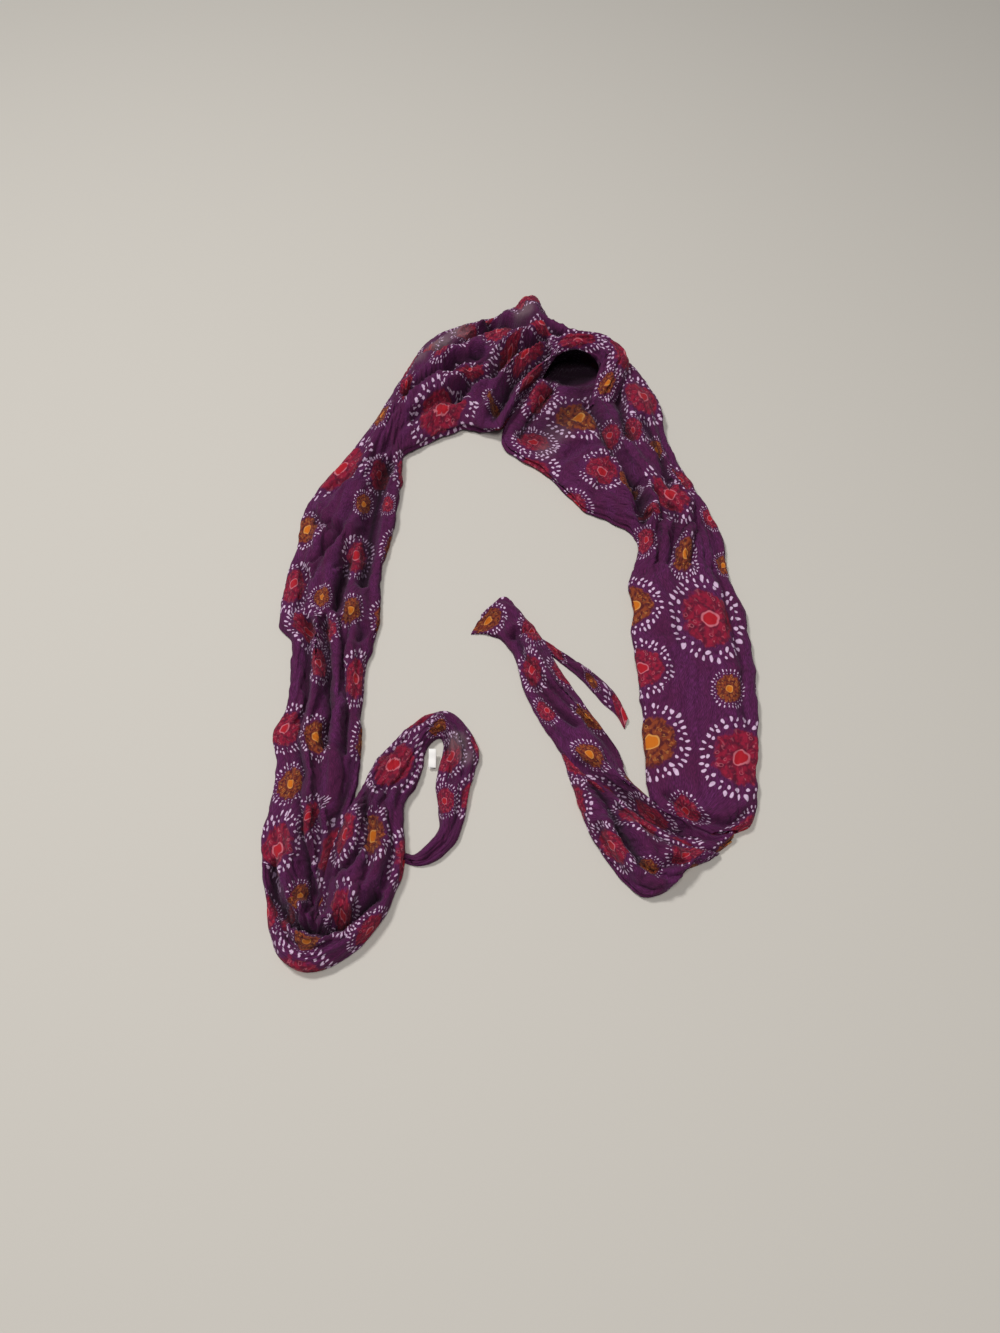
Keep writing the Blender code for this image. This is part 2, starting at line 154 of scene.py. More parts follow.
# Folds: path, rise, reach to the left of the path, reach to its right, in mm.  A rise below 0
# is a valley.
FOLDS = {
    "right_tail": [
        ([(0, -66), (9, -88), (24, -112), (46, -138), (66, -155), (80, -174)], -8, 2.5, 3),
        ([(12, -108), (29, -137), (46, -150)], -7, 2.5, 3),
        ([(-10, -73), (2, -66), (17, -63)], -5, 2.5, 3),
        ([(36, -176), (56, -196), (78, -208), (96, -226), (119, -236)], -11, 3, 3.5),
        ([(-30, -50), (-14, -46), (0, -50)], -3, 4, 4),
        ([(84, -214), (104, -230), (128, -240), (152, -243), (168, -233)], -5, 2.5, 2.5),
        ([(-20, -44), (4, -70), (20, -98), (40, -128), (60, -160)], 3, 9, 6),
        ([(6, -100), (22, -118), (34, -136), (48, -150)], -6, 3.5, 3.5),
        ([(42, -180), (58, -186), (76, -200), (96, -218), (118, -236)], -5, 3, 5),
        ([(60, -176), (78, -196), (96, -214), (120, -232)], 3, 5, 5),
    ],
    "corner_tail": [
        ([(30, -80), (50, -98), (68, -115), (84, -138)], 2, 4, 4),
        ([(22, -66), (34, -82), (48, -90)], -5, 2, 2.5),
        ([(38, -86), (52, -104), (64, -106)], -5, 2, 2.5),
        ([(56, -104), (68, -122), (80, -124)], -4, 2, 2.5),
    ],
    "right_bend": [
        ([(58, -198), (64, -206), (72, -225), (78, -243), (87, -257)], -15, 4, 4),
        ([(58, -232), (69, -257), (83, -274), (97, -279)], -9, 2.5, 3),
        ([(45, -200), (54, -226), (66, -250), (84, -270)], 4, 5, 5),
        ([(66, -212), (80, -230), (94, -244), (112, -252)], 3, 5, 5),
        ([(74, -216), (86, -228), (104, -240), (124, -250)], -9, 2.5, 3),
        ([(86, -262), (102, -264), (118, -258)], -7, 3, 3),
        ([(58, -240), (70, -260), (88, -270), (106, -268)], -5, 3, 3),
    ],
    "right_leg": [
        ([(141, 0), (136, -20), (138, -48)], -3, 8, 8),
        ([(168, 2), (174, -22), (176, -54), (179, -79), (181, -98), (176, -133), (180, -152)],
         -7, 2, 2.5),
        ([(110, -206), (130, -225), (153, -230), (174, -219), (181, -205)], -7, 2.5, 3),
        ([(186, -24), (186, -60), (184, -90), (186, -130)], 3, 5, 4),
        ([(100, -60), (120, -66), (140, -64)], -2, 4, 4),
        ([(172, -6), (174, -60), (172, -85), (177, -130)], 2, 9, 4),
        ([(134, -60), (134, -85), (124, -105)], -2, 6, 5),
        ([(118, -20), (116, -90), (118, -170)], 2, 12, 12),
        ([(176, -170), (180, -200), (172, -222)], -4, 5, 4),
        ([(116, -214), (134, -228), (160, -229), (174, -215)], 2.5, 6, 8),
    ],
    "right_shoulder": [
        ([(72, 184), (76, 166), (83, 138), (97, 108), (109, 78), (114, 50)], -14, 3.5, 4),
        ([(98, 204), (99, 184), (102, 160), (106, 138)], -13, 3.5, 4),
        ([(120, 160), (127, 138), (132, 111), (137, 80)], -11, 3, 4),
        ([(58, 70), (77, 60), (96, 45)], -6, 3, 4),
        ([(148, 84), (143, 104), (137, 128), (134, 150)], -7, 3.5, 4),
        ([(140, 30), (156, 48), (160, 70)], -6, 3.5, 4),
        ([(122, 8), (122, 30), (128, 50), (126, 74)], -8, 3.5, 4),
        ([(150, 6), (154, 26), (160, 44)], -7, 3, 4),
        ([(68, 74), (80, 90), (84, 110)], -4, 4, 5),
        ([(28, 236), (50, 241), (76, 240), (92, 234)], -16, 13, 13),
        ([(22, 204), (44, 208), (66, 208), (88, 205)], 5, 7, 6),
        ([(6, 150), (15, 168), (26, 188), (38, 206)], -14, 5, 6),
        ([(44, 118), (64, 132), (78, 128)], -4, 4, 4),
        ([(131, 6), (137, 30), (140, 46), (134, 62)], -8, 5, 5),
        ([(166, 50), (172, 26), (176, 4)], -5, 3, 6),
        ([(106, 24), (112, 52), (106, 84), (98, 108)], -5, 4, 8),
        ([(116, 20), (122, 60), (116, 96), (106, 128)], 5, 9, 9),
        ([(150, 66), (140, 104), (124, 150), (118, 190)], 5, 12, 9),
        ([(30, 124), (60, 96), (84, 70), (100, 44)], 4, 7, 7),
        ([(20, 150), (52, 170), (66, 196), (64, 224)], -8, 22, 26),
        ([(100, 112), (88, 140), (84, 168)], -5, 5, 6),
        ([(106, 246), (116, 222), (124, 198), (130, 176)], 11, 14, 12),
    ],
    "crown": [
        ([(-19, 160), (-11, 176), (0, 199), (16, 215), (34, 228)], -15, 3.5, 3.5),
        ([(-54, 184), (-39, 196), (-20, 202), (-7, 220), (9, 234), (31, 242)], -16, 3.5, 3.5),
        ([(-101, 184), (-84, 196), (-70, 207), (-50, 218), (-28, 224)], -13, 3.5, 3.5),
        ([(-78, 236), (-56, 236), (-41, 247), (-26, 266), (-18, 282)], -13, 3, 3.5),
        ([(-30, 287), (-11, 276), (2, 267), (19, 259), (44, 248)], -12, 3.5, 3.5),
        ([(-32, 150), (-24, 162), (-15, 175)], -9, 3, 3.5),
        ([(-80, 136), (-58, 150), (-34, 153), (-16, 140)], -7, 3, 4),
        ([(-92, 160), (-74, 176), (-54, 186)], -7, 3, 4),
        ([(-44, 262), (-30, 272), (-14, 286)], -6, 3, 3.5),
        ([(2, 318), (10, 304), (13, 290)], 4, 4, 5),
        ([(-9, 130), (2, 158), (14, 182), (28, 203), (46, 229), (66, 236), (84, 232)], 6, 5, 7),
        ([(-24, 222), (0, 232), (26, 250)], 5, 7, 10),
        ([(-100, 186), (-72, 200), (-46, 200), (-26, 190)], 7, 9, 7),
        ([(-62, 208), (-42, 208), (-24, 216)], -12, 5, 5),
        ([(-76, 158), (-46, 172), (-24, 164)], 5, 6, 9),
        ([(-84, 226), (-56, 228), (-34, 236), (-14, 254)], 6, 6, 10),
        ([(-66, 240), (-42, 250), (-14, 272)], -6, 6, 6),
        ([(-60, 262), (-30, 274), (0, 290), (18, 308)], 6, 8, 8),
        ([(24, 250), (22, 280), (22, 308)], 6, 8, 8),
        ([(-4, 262), (8, 272), (20, 270)], -7, 7, 7),
    ],
    "left_shoulder": [
        ([(-112, 130), (-122, 116), (-140, 98), (-158, 82)], -6, 3.5, 4.5),
        ([(-112, 112), (-118, 88), (-121, 64), (-124, 36), (-124, 8), (-127, -18)], -17, 5, 5),
        ([(-109, 90), (-112, 50), (-114, 10)], 3, 5, 4),
        ([(-140, 60), (-148, 36), (-160, 12), (-169, -12)], -7, 3.5, 4.5),
        ([(-132, 34), (-142, 14), (-150, -4)], -6, 3.5, 4),
        ([(-118, 168), (-128, 120), (-140, 80), (-146, 40)], 4, 14, 12),
        ([(-168, 84), (-150, 92), (-130, 90)], -4, 6, 8),
        ([(-176, 60), (-172, 30), (-160, 4)], 4, 9, 9),
    ],
    "left_leg": [
        ([(-140, 6), (-145, -20), (-147, -46)], -16, 5, 4),
        ([(-150, 40), (-158, 20), (-170, 4)], -7, 3, 4),
        ([(-178, 62), (-168, 46), (-150, 36)], -7, 3, 4),
        ([(-112, -30), (-116, -56), (-126, -74)], -8, 3, 4),
        ([(-167, -57), (-168, -78), (-165, -104), (-163, -130), (-166, -160)], -11, 3, 3.5),
        ([(-154, -53), (-149, -83), (-146, -111), (-143, -142), (-144, -166)], -13, 3, 3),
        ([(-134, -60), (-137, -83), (-134, -111), (-131, -142), (-130, -172)], -9, 2.5, 3),
        ([(-190, -66), (-177, -61), (-164, -66), (-150, -61), (-138, -56), (-124, -62)], -4, 4, 4),
        ([(-186, 8), (-176, -6), (-174, -30), (-182, -50)], -7, 3.5, 4.5),
        ([(-122, -24), (-124, -60), (-121, -100), (-120, -150)], 3, 4, 5),
        ([(-150, -6), (-154, -50), (-158, -100), (-154, -150)], 3, 5, 5),
        ([(-122, -10), (-130, -50), (-136, -100), (-134, -160)], 3, 6, 6),
        ([(-180, 0), (-184, -40), (-176, -64)], 4, 8, 6),
    ],
    "left_bend": [
        ([(-174, -262), (-170, -284), (-158, -300), (-146, -307), (-130, -309), (-114, -303),
          (-99, -284)], -14, 3.5, 3.5),
        ([(-165, -166), (-158, -191), (-158, -217), (-154, -239), (-149, -261), (-143, -280)],
         -12, 3, 4),
        ([(-120, -176), (-124, -201), (-130, -224), (-133, -246), (-136, -266), (-138, -290)],
         -17, 6.5, 6.5),
        ([(-162, -310), (-149, -318), (-134, -320), (-118, -314)], -6, 3, 3),
        ([(-168, -266), (-160, -284), (-150, -294)], 5, 4, 4),
        ([(-150, -300), (-138, -318), (-122, -322), (-104, -308), (-92, -290)], 4, 5, 5),
        ([(-152, -214), (-142, -236), (-142, -262), (-146, -286)], -8, 3, 3),
        ([(-162, -180), (-158, -206), (-160, -240), (-160, -270), (-156, -290)], 4, 6, 6),
        ([(-150, -180), (-146, -206), (-148, -240), (-148, -270)], -7, 4, 4),
        ([(-172, -262), (-168, -292), (-154, -316)], -4, 3, 4),
        ([(-160, -296), (-150, -306), (-143, -308)], -6, 3, 3),
    ],
    "return_limb": [
        ([(-112, -208), (-108, -228), (-108, -246), (-116, -262), (-126, -268)], -11, 3, 3.5),
        ([(-98, -204), (-93, -228), (-89, -252), (-94, -276)], -7, 3, 3),
        ([(-124, -206), (-118, -232), (-114, -262), (-118, -288)], 5, 7, 8),
        ([(-104, -214), (-102, -240), (-106, -262)], -5, 4, 4),
        ([(-96, -214), (-92, -244), (-98, -276)], 4, 5, 6),
        ([(-142, -310), (-128, -309), (-112, -298)], -7, 3, 3),
        ([(-144, -318), (-126, -316), (-104, -300)], 3, 4, 4),
    ],
    "left_loop": [
        ([(-106, -196), (-98, -176), (-84, -160)], -4, 3, 3),
        ([(-72, -146), (-58, -142), (-46, -150), (-38, -168), (-40, -190)], -4, 2.5, 2.5),
        ([(-64, -150), (-52, -158), (-50, -168)], -5, 3, 3),
        ([(-98, -200), (-88, -176), (-72, -156), (-58, -147)], 3, 9, 8),
        ([(-56, -150), (-46, -160), (-40, -180)], 3, 7, 7),
        ([(-54, -158), (-50, -176), (-48, -194)], -4, 4, 4),
    ],
    "left_tail": [
        ([(-38, -200), (-44, -224), (-52, -242), (-66, -254)], -4, 2.5, 2.5),
        ([(-46, -200), (-50, -220), (-54, -236), (-66, -249)], 2, 5, 5),
    ],
}
UNDERCUT = 0.20     # how far the crown's front wall leans back at the floor, in half widths
LEAN = 0.7          # how far a fold's crest moves over its steep side, as a share of its rise
LIP = 0.42          # height of the rounded lip on a valley's left bank, as a share of its depth
LIP_PLACE, LIP_WIDTH = 2.4, 1.3     # where the lip lies and how wide it is, in reaches
LIP_END = 5         # how fast a lip dies out past its fold's end, in mm
RIGHT_LIP = 0.25    # the right bank's lip, as a share of the left one
RIDGE_POWER, VALLEY_POWER = 2, 1.1  # a higher power is rounder at the fold's line
DARK_DEPTH = 13     # the depth of fold at which the painted shade is darkest, in mm
FULL_RISE, SPARE_RISE = 7, 3        # where a rise of many folds eases off, and by how much, in mm

# The hollow under the front of the crown: a squashed ball's upper half.
CAVE_CENTRE = (56, 226, -2)
CAVE_REACH = (31, 25, 39)
CAVE_SHADE_CENTRE, CAVE_SHADE_REACH = (56, 236), (33, 24)  # the cloth in the hollow, where shade is painted on

# The print: x, y, radius, squeeze across the band, in mm, and kind.  Gathers narrow a rosette
# across the band.
BARE, BIG_RED, SMALL_RED, BIG_ORANGE, SMALL_ORANGE = 0, 1, 2, 3, 4
ROSETTES = {
    "right_tail": [
        (-22, -50, 18, 0.9, BIG_ORANGE), (14, -99, 22, 0.6, BIG_RED),
        (56, -143, 18, 0.7, SMALL_ORANGE), (55, -177, 17, 0.8, SMALL_ORANGE),
        (24, -136, 15, 0.6, SMALL_RED), (97, -224, 24, 0.4, BIG_RED),
    ],
    "corner_tail": [(32, -79, 14, 0.8, SMALL_RED), (60, -106, 12, 0.7, SMALL_ORANGE)],
    "right_bend": [(68, -248, 24, 0.6, BIG_RED), (92, -264, 14, 0.8, SMALL_ORANGE)],
    "right_leg": [
        (160, -53, 42, 0.72, BIG_RED), (99, -36, 29, 0.8, BIG_ORANGE),
        (101, -97, 27, 0.95, BIG_RED), (168, -118, 18, 0.8, SMALL_ORANGE),
        (103, -162, 33, 0.88, BIG_ORANGE), (170, -176, 36, 0.92, BIG_RED),
        (125, -219, 18, 0.8, SMALL_RED), (126, -118, 10, 1, BARE), (130, -86, 8, 1, BARE),
        (142, -150, 8, 1, BARE), (134, -196, 8, 1, BARE),
    ],
    "right_shoulder": [
        (145, 11, 25, 0.5, BIG_ORANGE), (171, 52, 15, 0.5, SMALL_RED),
        (136, 72, 33, 0.6, BIG_RED), (105, 86, 25, 0.45, BIG_ORANGE),
        (79, 100, 24, 0.9, BIG_RED), (113, 27, 18, 0.6, SMALL_RED),
        (60, 166, 38, 0.66, BIG_ORANGE), (88, 141, 19, 0.8, SMALL_RED),
        (121, 187, 36, 0.6, BIG_RED), (130, 128, 14, 0.7, SMALL_ORANGE),
        (18, 140, 26, 0.5, BIG_RED), (178, 4, 14, 0.6, SMALL_ORANGE), (56, 108, 12, 1, BARE),
        (62, 206, 14, 1, BARE), (50, 240, 30, 1, BARE), (98, 196, 8, 1, BARE),
        (120, 110, 8, 1, BARE), (84, 60, 9, 1, BARE),
    ],
    "crown": [
        (-66, 172, 38, 0.9, BIG_RED), (-17, 174, 17, 0.7, SMALL_ORANGE),
        (-42, 206, 28, 0.6, BIG_RED), (-62, 230, 25, 0.6, BIG_RED),
        (10, 222, 33, 0.5, BIG_RED), (-12, 252, 25, 0.6, SMALL_RED),
        (14, 306, 26, 0.8, BIG_RED), (-28, 288, 22, 0.6, BIG_RED), (26, 192, 28, 0.6, BIG_RED),
        (60, 240, 27, 0.6, BIG_RED), (88, 201, 19, 0.6, BIG_ORANGE), (8, 276, 9, 1, BARE),
        (-28, 148, 9, 1, BARE), (-10, 284, 9, 1, BARE),
    ],
    "left_shoulder": [
        (-120, 163, 20, 0.8, SMALL_ORANGE), (-154, 107, 38, 0.75, BIG_RED),
        (-130, 64, 16, 0.7, SMALL_ORANGE), (-178, 40, 21, 0.8, BIG_ORANGE),
        (-112, 66, 13, 0.6, SMALL_RED), (-134, 9, 27, 0.6, BIG_RED),
    ],
    "left_leg": [
        (-184, -20, 27, 0.6, BIG_RED), (-159, -35, 13, 0.8, SMALL_ORANGE),
        (-134, -52, 18, 0.8, SMALL_ORANGE), (-155, -98, 22, 0.6, BIG_RED),
        (-126, -110, 27, 0.45, BIG_RED), (-177, -152, 23, 0.75, BIG_RED),
        (-152, -163, 20, 0.7, BIG_ORANGE), (-152, 22, 10, 1, BARE), (-122, -20, 10, 1, BARE),
        (-174, -92, 9, 1, BARE), (-142, -130, 8, 1, BARE), (-156, 62, 8, 1, BARE),
        (-133, -160, 9, 1, BARE), (-140, -92, 9, 1, BARE),
    ],
    "left_bend": [
        (-167, -199, 18, 0.8, SMALL_ORANGE), (-150, -226, 24, 0.6, BIG_RED),
        (-170, -252, 31, 0.6, BIG_RED), (-150, -287, 16, 0.8, SMALL_ORANGE),
        (-143, -318, 17, 0.5, SMALL_ORANGE), (-176, -296, 18, 0.7, SMALL_RED),
        (-130, -192, 10, 1, BARE),
    ],
    "return_limb": [
        (-123, -241, 24, 0.7, BIG_RED), (-102, -241, 24, 0.7, BIG_ORANGE),
        (-120, -299, 26, 0.9, BIG_RED), (-92, -210, 8, 1, BARE), (-102, -308, 20, 0.6, BIG_RED),
    ],
    "left_loop": [(-92, -186, 30, 0.8, BIG_RED), (-60, -152, 12, 0.8, SMALL_ORANGE)],
    "left_tail": [(-53, -211, 15, 0.7, SMALL_RED), (-74, -254, 10, 1, BARE)],
}
# Where a single layer is thin enough for the floor to show through: x, y, reach, strength.
THIN = {
    "crown": [(-70, 248, 13, 0.9), (-52, 262, 12, 0.8), (11, 280, 10, 0.8), (-88, 228, 9, 0.6)],
    "right_shoulder": [(40, 146, 14, 0.35), (30, 128, 10, 0.35)],
    "left_loop": [(-44, -164, 8, 0.8), (-38, -176, 7, 0.6)],
}
ROSETTE_REACH = 1.15        # where a rosette's cell ends, in its radii
SPARE_GROUND = 20           # the widest bare ground left round a point between rosettes, in mm
# The rosettes that fill bare ground, in turn: kind and largest radius in mm.
FILLERS = [(BIG_RED, 32), (SMALL_RED, 19), (BIG_RED, 25), (SMALL_ORANGE, 20)]


# ---------------------------------------------------------------- shape
def smooth_curve(stations):
    """Points of a Catmull-Rom curve through every station, end stations included."""
    rows = np.array(stations, dtype=float)
    rows = np.vstack([2 * rows[0] - rows[1], rows, 2 * rows[-1] - rows[-2]])
    t = np.linspace(0, 1, CURVE_SAMPLES, endpoint=False)[:, None]
    spans = []
    for i in range(1, len(rows) - 2):
        p0, p1, p2, p3 = rows[i - 1:i + 3]
        spans.append(p1 + 0.5 * t * (p2 - p0 + t * (2 * p0 - 5 * p1 + 4 * p2 - p3
                                                    + t * (3 * (p1 - p2) + p3 - p0))))
    return np.vstack(spans + [rows[-2:-1]])


def lattice(cells, seed):
    """Repeatable random numbers from 0 to 1 for whole-numbered cells."""
    value = np.sin(cells[0] * 127.1 + cells[1] * 311.7 + seed * 74.7) * 43758.5453
    return value - np.floor(value)


def noise(u, v, seed):
    """Smooth noise from about -1 to 1, with a random slope at each whole-numbered place."""
    cu, cv = np.floor(u), np.floor(v)
    total = 0
    for du in (0, 1):
        for dv in (0, 1):
            angle = 2 * math.pi * lattice((cu + du, cv + dv), seed)
            off_u, off_v = u - cu - du, v - cv - dv
            near_u, near_v = 1 - np.abs(off_u), 1 - np.abs(off_v)
            weight = near_u ** 2 * (3 - 2 * near_u) * near_v ** 2 * (3 - 2 * near_v)
            total = total + weight * (np.cos(angle) * off_u + np.sin(angle) * off_v)
    return 1.5 * total


def puffs(u, v, seed):
    """Rounded swellings with sharp valleys between them, from about 0 to 1."""
    return np.tanh(1.9 * np.sqrt(noise(u, v, seed) ** 2 + 0.008)) * 1.1


def run_sections(run):
    """Even sections through a run of stretches, and the section where each stretch starts."""
    stations, starts = [], []
    for place, (name, rows, share, pleat, crinkle) in enumerate(run):
        starts.append(len(stations))
        rows = [(*row, share, share)[:7] + (pleat, crinkle) for row in rows]
        stations += rows if place == len(run) - 1 else rows[:-1]
    curve = smooth_curve(stations)
    middle = (curve[:, 0:2] + curve[:, 2:4]) / 2
    along = np.concatenate([[0], np.cumsum(np.linalg.norm(np.diff(middle, axis=0), axis=1))])
    count = round(along[-1] / STEP) + 1
    places = np.linspace(0, along[-1], count)
    sections = np.stack([np.interp(places, along, values) for values in curve.T], axis=1)
    cuts = [int(np.searchsorted(places, along[start * CURVE_SAMPLES] - 1e-6)) for start in starts]
    return sections, cuts + [count - 1]


def section_shape(top_points):
    """A section's points: shares of the half width, of the side's height and of the top."""
    side = np.array(smooth_side())
    floor = [(c, 0.0, 0.0) for c in np.linspace(-SIDE[0][0], SIDE[0][0], FLOOR_POINTS)[1:-1]]
    right = [(c, z, 0.0) for c, z in side[:-1]]
    sweep = np.linspace(1, -1, top_points)
    top = [(TOP_START * math.sin(math.pi / 2 * s) * 0.35 + TOP_START * s * 0.65) for s in sweep]
    top = [(c, 1.0, math.cos(math.pi / 2 * c / TOP_START)) for c in top]
    left = [(-c, z, 0.0) for c, z in side[:-1][::-1]]
    return np.array(floor + right + top + left)


def smooth_side():
    """Even points up the rolled side."""
    curve = smooth_curve([(c, z) for c, z in SIDE])
    length = np.concatenate([[0], np.cumsum(np.linalg.norm(np.diff(curve, axis=0), axis=1))])
    places = np.linspace(0, length[-1], SIDE_POINTS)
    return np.stack([np.interp(places, length, values) for values in curve.T], axis=1)


def fold_shift(points, path, rise, left_reach, right_reach):
    """How far one fold lifts plan points and carries them over its steep side.

    The last value is the shade painted in for how deep in the fold each point lies, from 0 to 1.
    """
    path = np.array(path, dtype=float)
    nearest = np.full(len(points), np.inf)
    signed, past = np.zeros(len(points)), np.zeros(len(points))
    sideways = np.zeros((len(points), 2))
    for start, end in zip(path[:-1], path[1:]):
        run = end - start
        share = np.clip((points - start) @ run / (run @ run), 0, 1)
        offset = points - start - share[:, None] * run
        distance = np.linalg.norm(offset, axis=1)
        side = run[0] * offset[:, 1] - run[1] * offset[:, 0]
        closer = distance < nearest
        nearest = np.where(closer, distance, nearest)
        signed = np.where(closer, side, signed)
        past = np.where(closer, np.abs(offset @ run) / np.linalg.norm(run), past)
        normal = np.array([-run[1], run[0]]) / np.linalg.norm(run)
        sideways = np.where(closer[:, None], normal, sideways)
    reach = np.where(signed > 0, left_reach, right_reach)
    strength = np.exp(-(nearest / reach) ** (RIDGE_POWER if rise > 0 else VALLEY_POWER))
    # Shade painted into a valley: darkest along its line and where the valley is deepest.
    painted_shade = np.exp(-(nearest / (0.85 * reach)) ** 2) * np.clip(-rise / DARK_DEPTH, 0, 1)
    if rise < 0:
        bank = np.exp(-((nearest / reach - LIP_PLACE) / LIP_WIDTH) ** 2 - (past / LIP_END) ** 2)
        strength = strength - LIP * bank * np.where(signed > 0, 1.0, RIGHT_LIP)
    uneven = (right_reach - left_reach) / (left_reach + right_reach)
    carry = sideways * (abs(rise) * LEAN * uneven * strength)[:, None]
    return rise * strength, carry, painted_shade


def carve_cave(points):
    """Points inside the hollow's ball move out to its surface."""
    centre, reach = np.array(CAVE_CENTRE, float), np.array(CAVE_REACH, float)
    offset = (points - centre) / reach
    distance = np.linalg.norm(offset, axis=-1, keepdims=True)
    pushed = centre + offset / np.maximum(distance, 1e-6) * reach
    pushed[..., 2] = np.maximum(pushed[..., 2], 0)
    return np.where(distance < 1, pushed, points)


def run_surface(run, seed):
    """The run's grid of points with its folds and pleats, and the same with its crinkles.

    Then come the shade painted into the folds, the pleats and the hollow, and where each stretch
    starts and ends.
    """
    sections, cuts = run_sections(run)
    widths = np.linalg.norm(sections[:, 2:4] - sections[:, 0:2], axis=1)
    shape = section_shape(max(16, math.ceil(1.1 * np.percentile(widths, 85) / TOP_PITCH)))
    rows = np.arange(len(sections))[:, None] * STEP
    on_top, on_floor = shape[:, 1] >= 1.0, shape[:, 1] <= 0
    rim = np.where(on_top | on_floor, 0.0, np.sin(math.pi * shape[:, 1]))
    half = widths[:, None] / 2
    edge = np.sign(shape[:, 0]) * np.clip(np.abs(shape[:, 0]) * 3 - 1.6, 0, 1)
    wander = 1.5 * rim * noise(rows / 17, 3.0 * np.sign(shape[:, 0]) + 4 * shape[:, 1], seed)
    ragged = noise(rows / 21, 7.3 * np.sign(shape[:, 0]), seed + 9)
    ragged = ragged + 0.5 * noise(rows / 9, 4.1 * np.sign(shape[:, 0]), seed + 11)
    wander = wander + 1.9 * ragged * half / (half + 12)
    across = shape[:, 0] + edge * wander / half
    if run[0][0] == "crown":    # its front wall leans back
        front = np.clip((sections[:, 0:1] + 40) / 25, 0, 1) * (shape[:, 0] < -0.5)
        across = across * (1 - UNDERCUT * front * np.clip(0.9 - shape[:, 1], 0, 1))
    left, right = sections[:, None, 0:2], sections[:, None, 2:4]
    plan = (left + right) / 2 + (right - left) / 2 * across[:, :, None]
    height, left_share, right_share, pleat, crinkle = sections[:, 4:9].T[:, :, None]
    share = left_share + (right_share - left_share) * (1 + shape[:, 0]) / 2
    lift = shape[:, 1] + rim * 0.16 * noise(rows / 23, np.sign(shape[:, 0]), seed + 5)
    z = height * (share * np.clip(lift, 0, None) + (1 - share) * shape[:, 2])
    z = np.where(on_floor, 0.0, z)

    flat = plan.reshape(-1, 2)
    fade = np.where(on_top, np.clip(2.2 * shape[:, 2], 0.25, 1.0), 0.25 * shape[:, 1])
    rise, carry, painted_shade = np.zeros(len(flat)), np.zeros((len(flat), 2)), np.zeros(len(flat))
    for name, *_ in run:
        for fold in FOLDS[name]:
            up, over, fold_shade = fold_shift(flat, *fold)
            rise, carry, painted_shade = rise + up, carry + over, np.maximum(painted_shade, fold_shade)
    eased = FULL_RISE + SPARE_RISE * np.tanh((rise - FULL_RISE) / SPARE_RISE)
    rise = np.where(rise > FULL_RISE, eased, rise)
    rise, carry = rise.reshape(z.shape), carry.reshape(plan.shape)
    painted_shade = painted_shade.reshape(z.shape) * np.where(on_top, np.clip(0.3 + 2.5 * shape[:, 2], 0, 1), 0.3)
    least = np.where(shape[:, 1] > 0, np.minimum(z, 2.0 + 0.12 * height), 0)
    z = np.maximum(z + rise * fade, least)
    folded = np.concatenate([plan + carry * fade[:, None], z[:, :, None]], axis=2)

    # Pleats follow the band and close up where it is narrow; crinkles keep their own size.
    lane = np.cumsum(np.abs(np.diff(shape[:, 0], prepend=shape[0, 0]))) * np.median(half)
    slant = 11 * noise(rows / 100, lane / 50, seed + 1)
    slant = slant + 1.5 * noise(rows / 27, lane / 16, seed + 6)
    pleats = 1.7 * puffs(rows / 190, (lane + slant) / 11, seed + 2) - 0.95
    pleats = pleats + 0.5 * puffs(rows / 55, (lane + slant) / 5.6 + 40, seed + 7) - 0.25
    mask = np.where(on_top, np.clip(0.35 + 1.2 * shape[:, 2], 0, 1), 0.55 * shape[:, 1])
    size = np.clip(half / 22, 0.35, 1)
    folded = shift_out(folded, pleat * pleats * mask * size, least)
    # Shade painted into the pleats' deepest valleys.
    pleat_shade = 0.5 * np.clip((-pleats - 0.55) / 0.6, 0, 1) * mask * np.clip(pleat - 1.2, 0, 1)
    painted_shade = np.maximum(painted_shade, pleat_shade)
    around = lengths_along(folded, 1)
    bent = around + 4 * noise(rows / 26, around / 22, seed + 8)
    tucks = puffs((rows + bent * 0.5) / 44, (bent - rows * 0.15) / 6.5, seed + 3) - 0.5
    fine = 0.5 - np.abs(noise((rows - bent * 0.3) / 9, bent / 3.8, seed + 4)) * 1.5
    raised = shift_out(folded, crinkle * (1.1 * tucks + 0.5 * fine) * mask, least)
    if run[0][0] == "crown":
        folded, carved = carve_cave(folded), carve_cave(raised)
        # The hollow's ceiling, where points were pushed out to the ball, gets painted shade.
        moved = np.linalg.norm(carved - raised, axis=2)
        painted_shade, raised = np.maximum(painted_shade, np.clip(moved / 1.5, 0, 1)), carved
    if run[-1][0] == "right_shoulder":
        # Shade painted on the cloth that lies in the hollow under the crown.
        off = np.linalg.norm((raised[:, :, :2] - CAVE_SHADE_CENTRE) / CAVE_SHADE_REACH, axis=2)
        painted_shade = np.maximum(painted_shade, np.clip((1 - off) / 0.3, 0, 1))
    return folded, raised, painted_shade, cuts


def shift_out(points, distance, least):
    """Points moved along their normals, and kept off the floor."""
    moved = points + grid_normals(points) * distance[:, :, None]
    moved[:, :, 2] = np.maximum(moved[:, :, 2], least)
    return moved


def lengths_along(points, axis):
    """The distance along the grid's own lines, down it (0) or round it (1)."""
    steps = np.linalg.norm(np.diff(points, axis=axis), axis=2)
    start = np.zeros((1, points.shape[1])) if axis == 0 else np.zeros((points.shape[0], 1))
    return np.cumsum(np.concatenate([start, steps], axis=axis), axis=axis)


